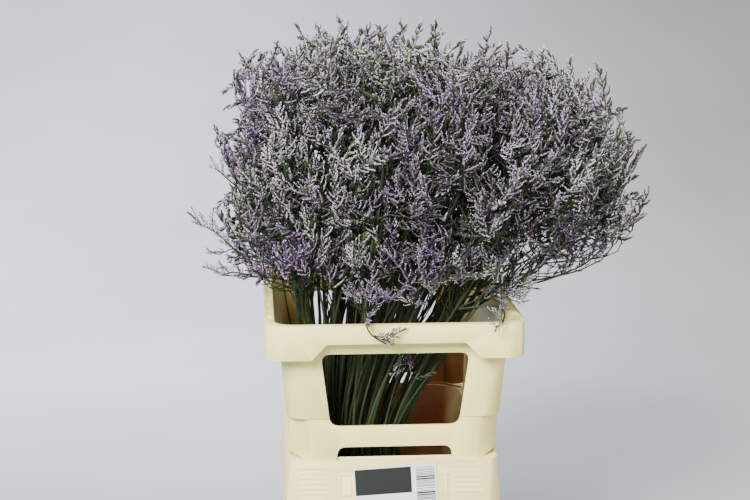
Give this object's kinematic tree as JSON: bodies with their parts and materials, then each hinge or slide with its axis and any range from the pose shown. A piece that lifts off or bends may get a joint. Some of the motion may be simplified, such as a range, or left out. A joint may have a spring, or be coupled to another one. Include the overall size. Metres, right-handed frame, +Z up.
{
  "type": "dried statice",
  "caption": "Bunch of statice stems with airy lilac flower sprays, standing in an oblong cream plastic flower bucket with a windowed collar and a plain lot card",
  "frame": {"origin": "centre of the bucket's base, on the surface it stands on", "axes": "+Z up, -Y towards the front, which is the narrow side with the lot card, +X to the right as seen from the front"},
  "size_m": [0.5516, 0.4529, 0.7327],
  "materials": {
    "cream_plastic": "satin",
    "white_paper": "matte",
    "dried_flower": "matte"
  },
  "bodies": {
    "root": {"bucket": "cream_plastic", "collar": "cream_plastic", "lot_card": "white_paper", "statice_stem_01": "dried_flower", "statice_stem_02": "dried_flower", "statice_stem_03": "dried_flower", "statice_stem_04": "dried_flower", "statice_stem_05": "dried_flower", "statice_stem_06": "dried_flower", "statice_stem_07": "dried_flower", "statice_stem_08": "dried_flower", "statice_stem_09": "dried_flower", "statice_stem_10": "dried_flower", "statice_stem_11": "dried_flower", "statice_stem_12": "dried_flower", "statice_stem_13": "dried_flower", "statice_stem_14": "dried_flower", "statice_stem_15": "dried_flower", "statice_stem_16": "dried_flower", "statice_stem_17": "dried_flower", "statice_stem_18": "dried_flower", "statice_stem_19": "dried_flower", "statice_stem_20": "dried_flower", "statice_stem_21": "dried_flower", "statice_stem_22": "dried_flower", "statice_stem_23": "dried_flower", "statice_stem_24": "dried_flower", "statice_stem_25": "dried_flower", "statice_stem_26": "dried_flower", "statice_stem_27": "dried_flower", "statice_stem_28": "dried_flower", "statice_stem_29": "dried_flower", "statice_stem_30": "dried_flower", "statice_stem_31": "dried_flower", "statice_stem_32": "dried_flower", "statice_stem_33": "dried_flower", "statice_stem_34": "dried_flower", "statice_stem_35": "dried_flower", "statice_stem_36": "dried_flower"}
  },
  "joints": []
}
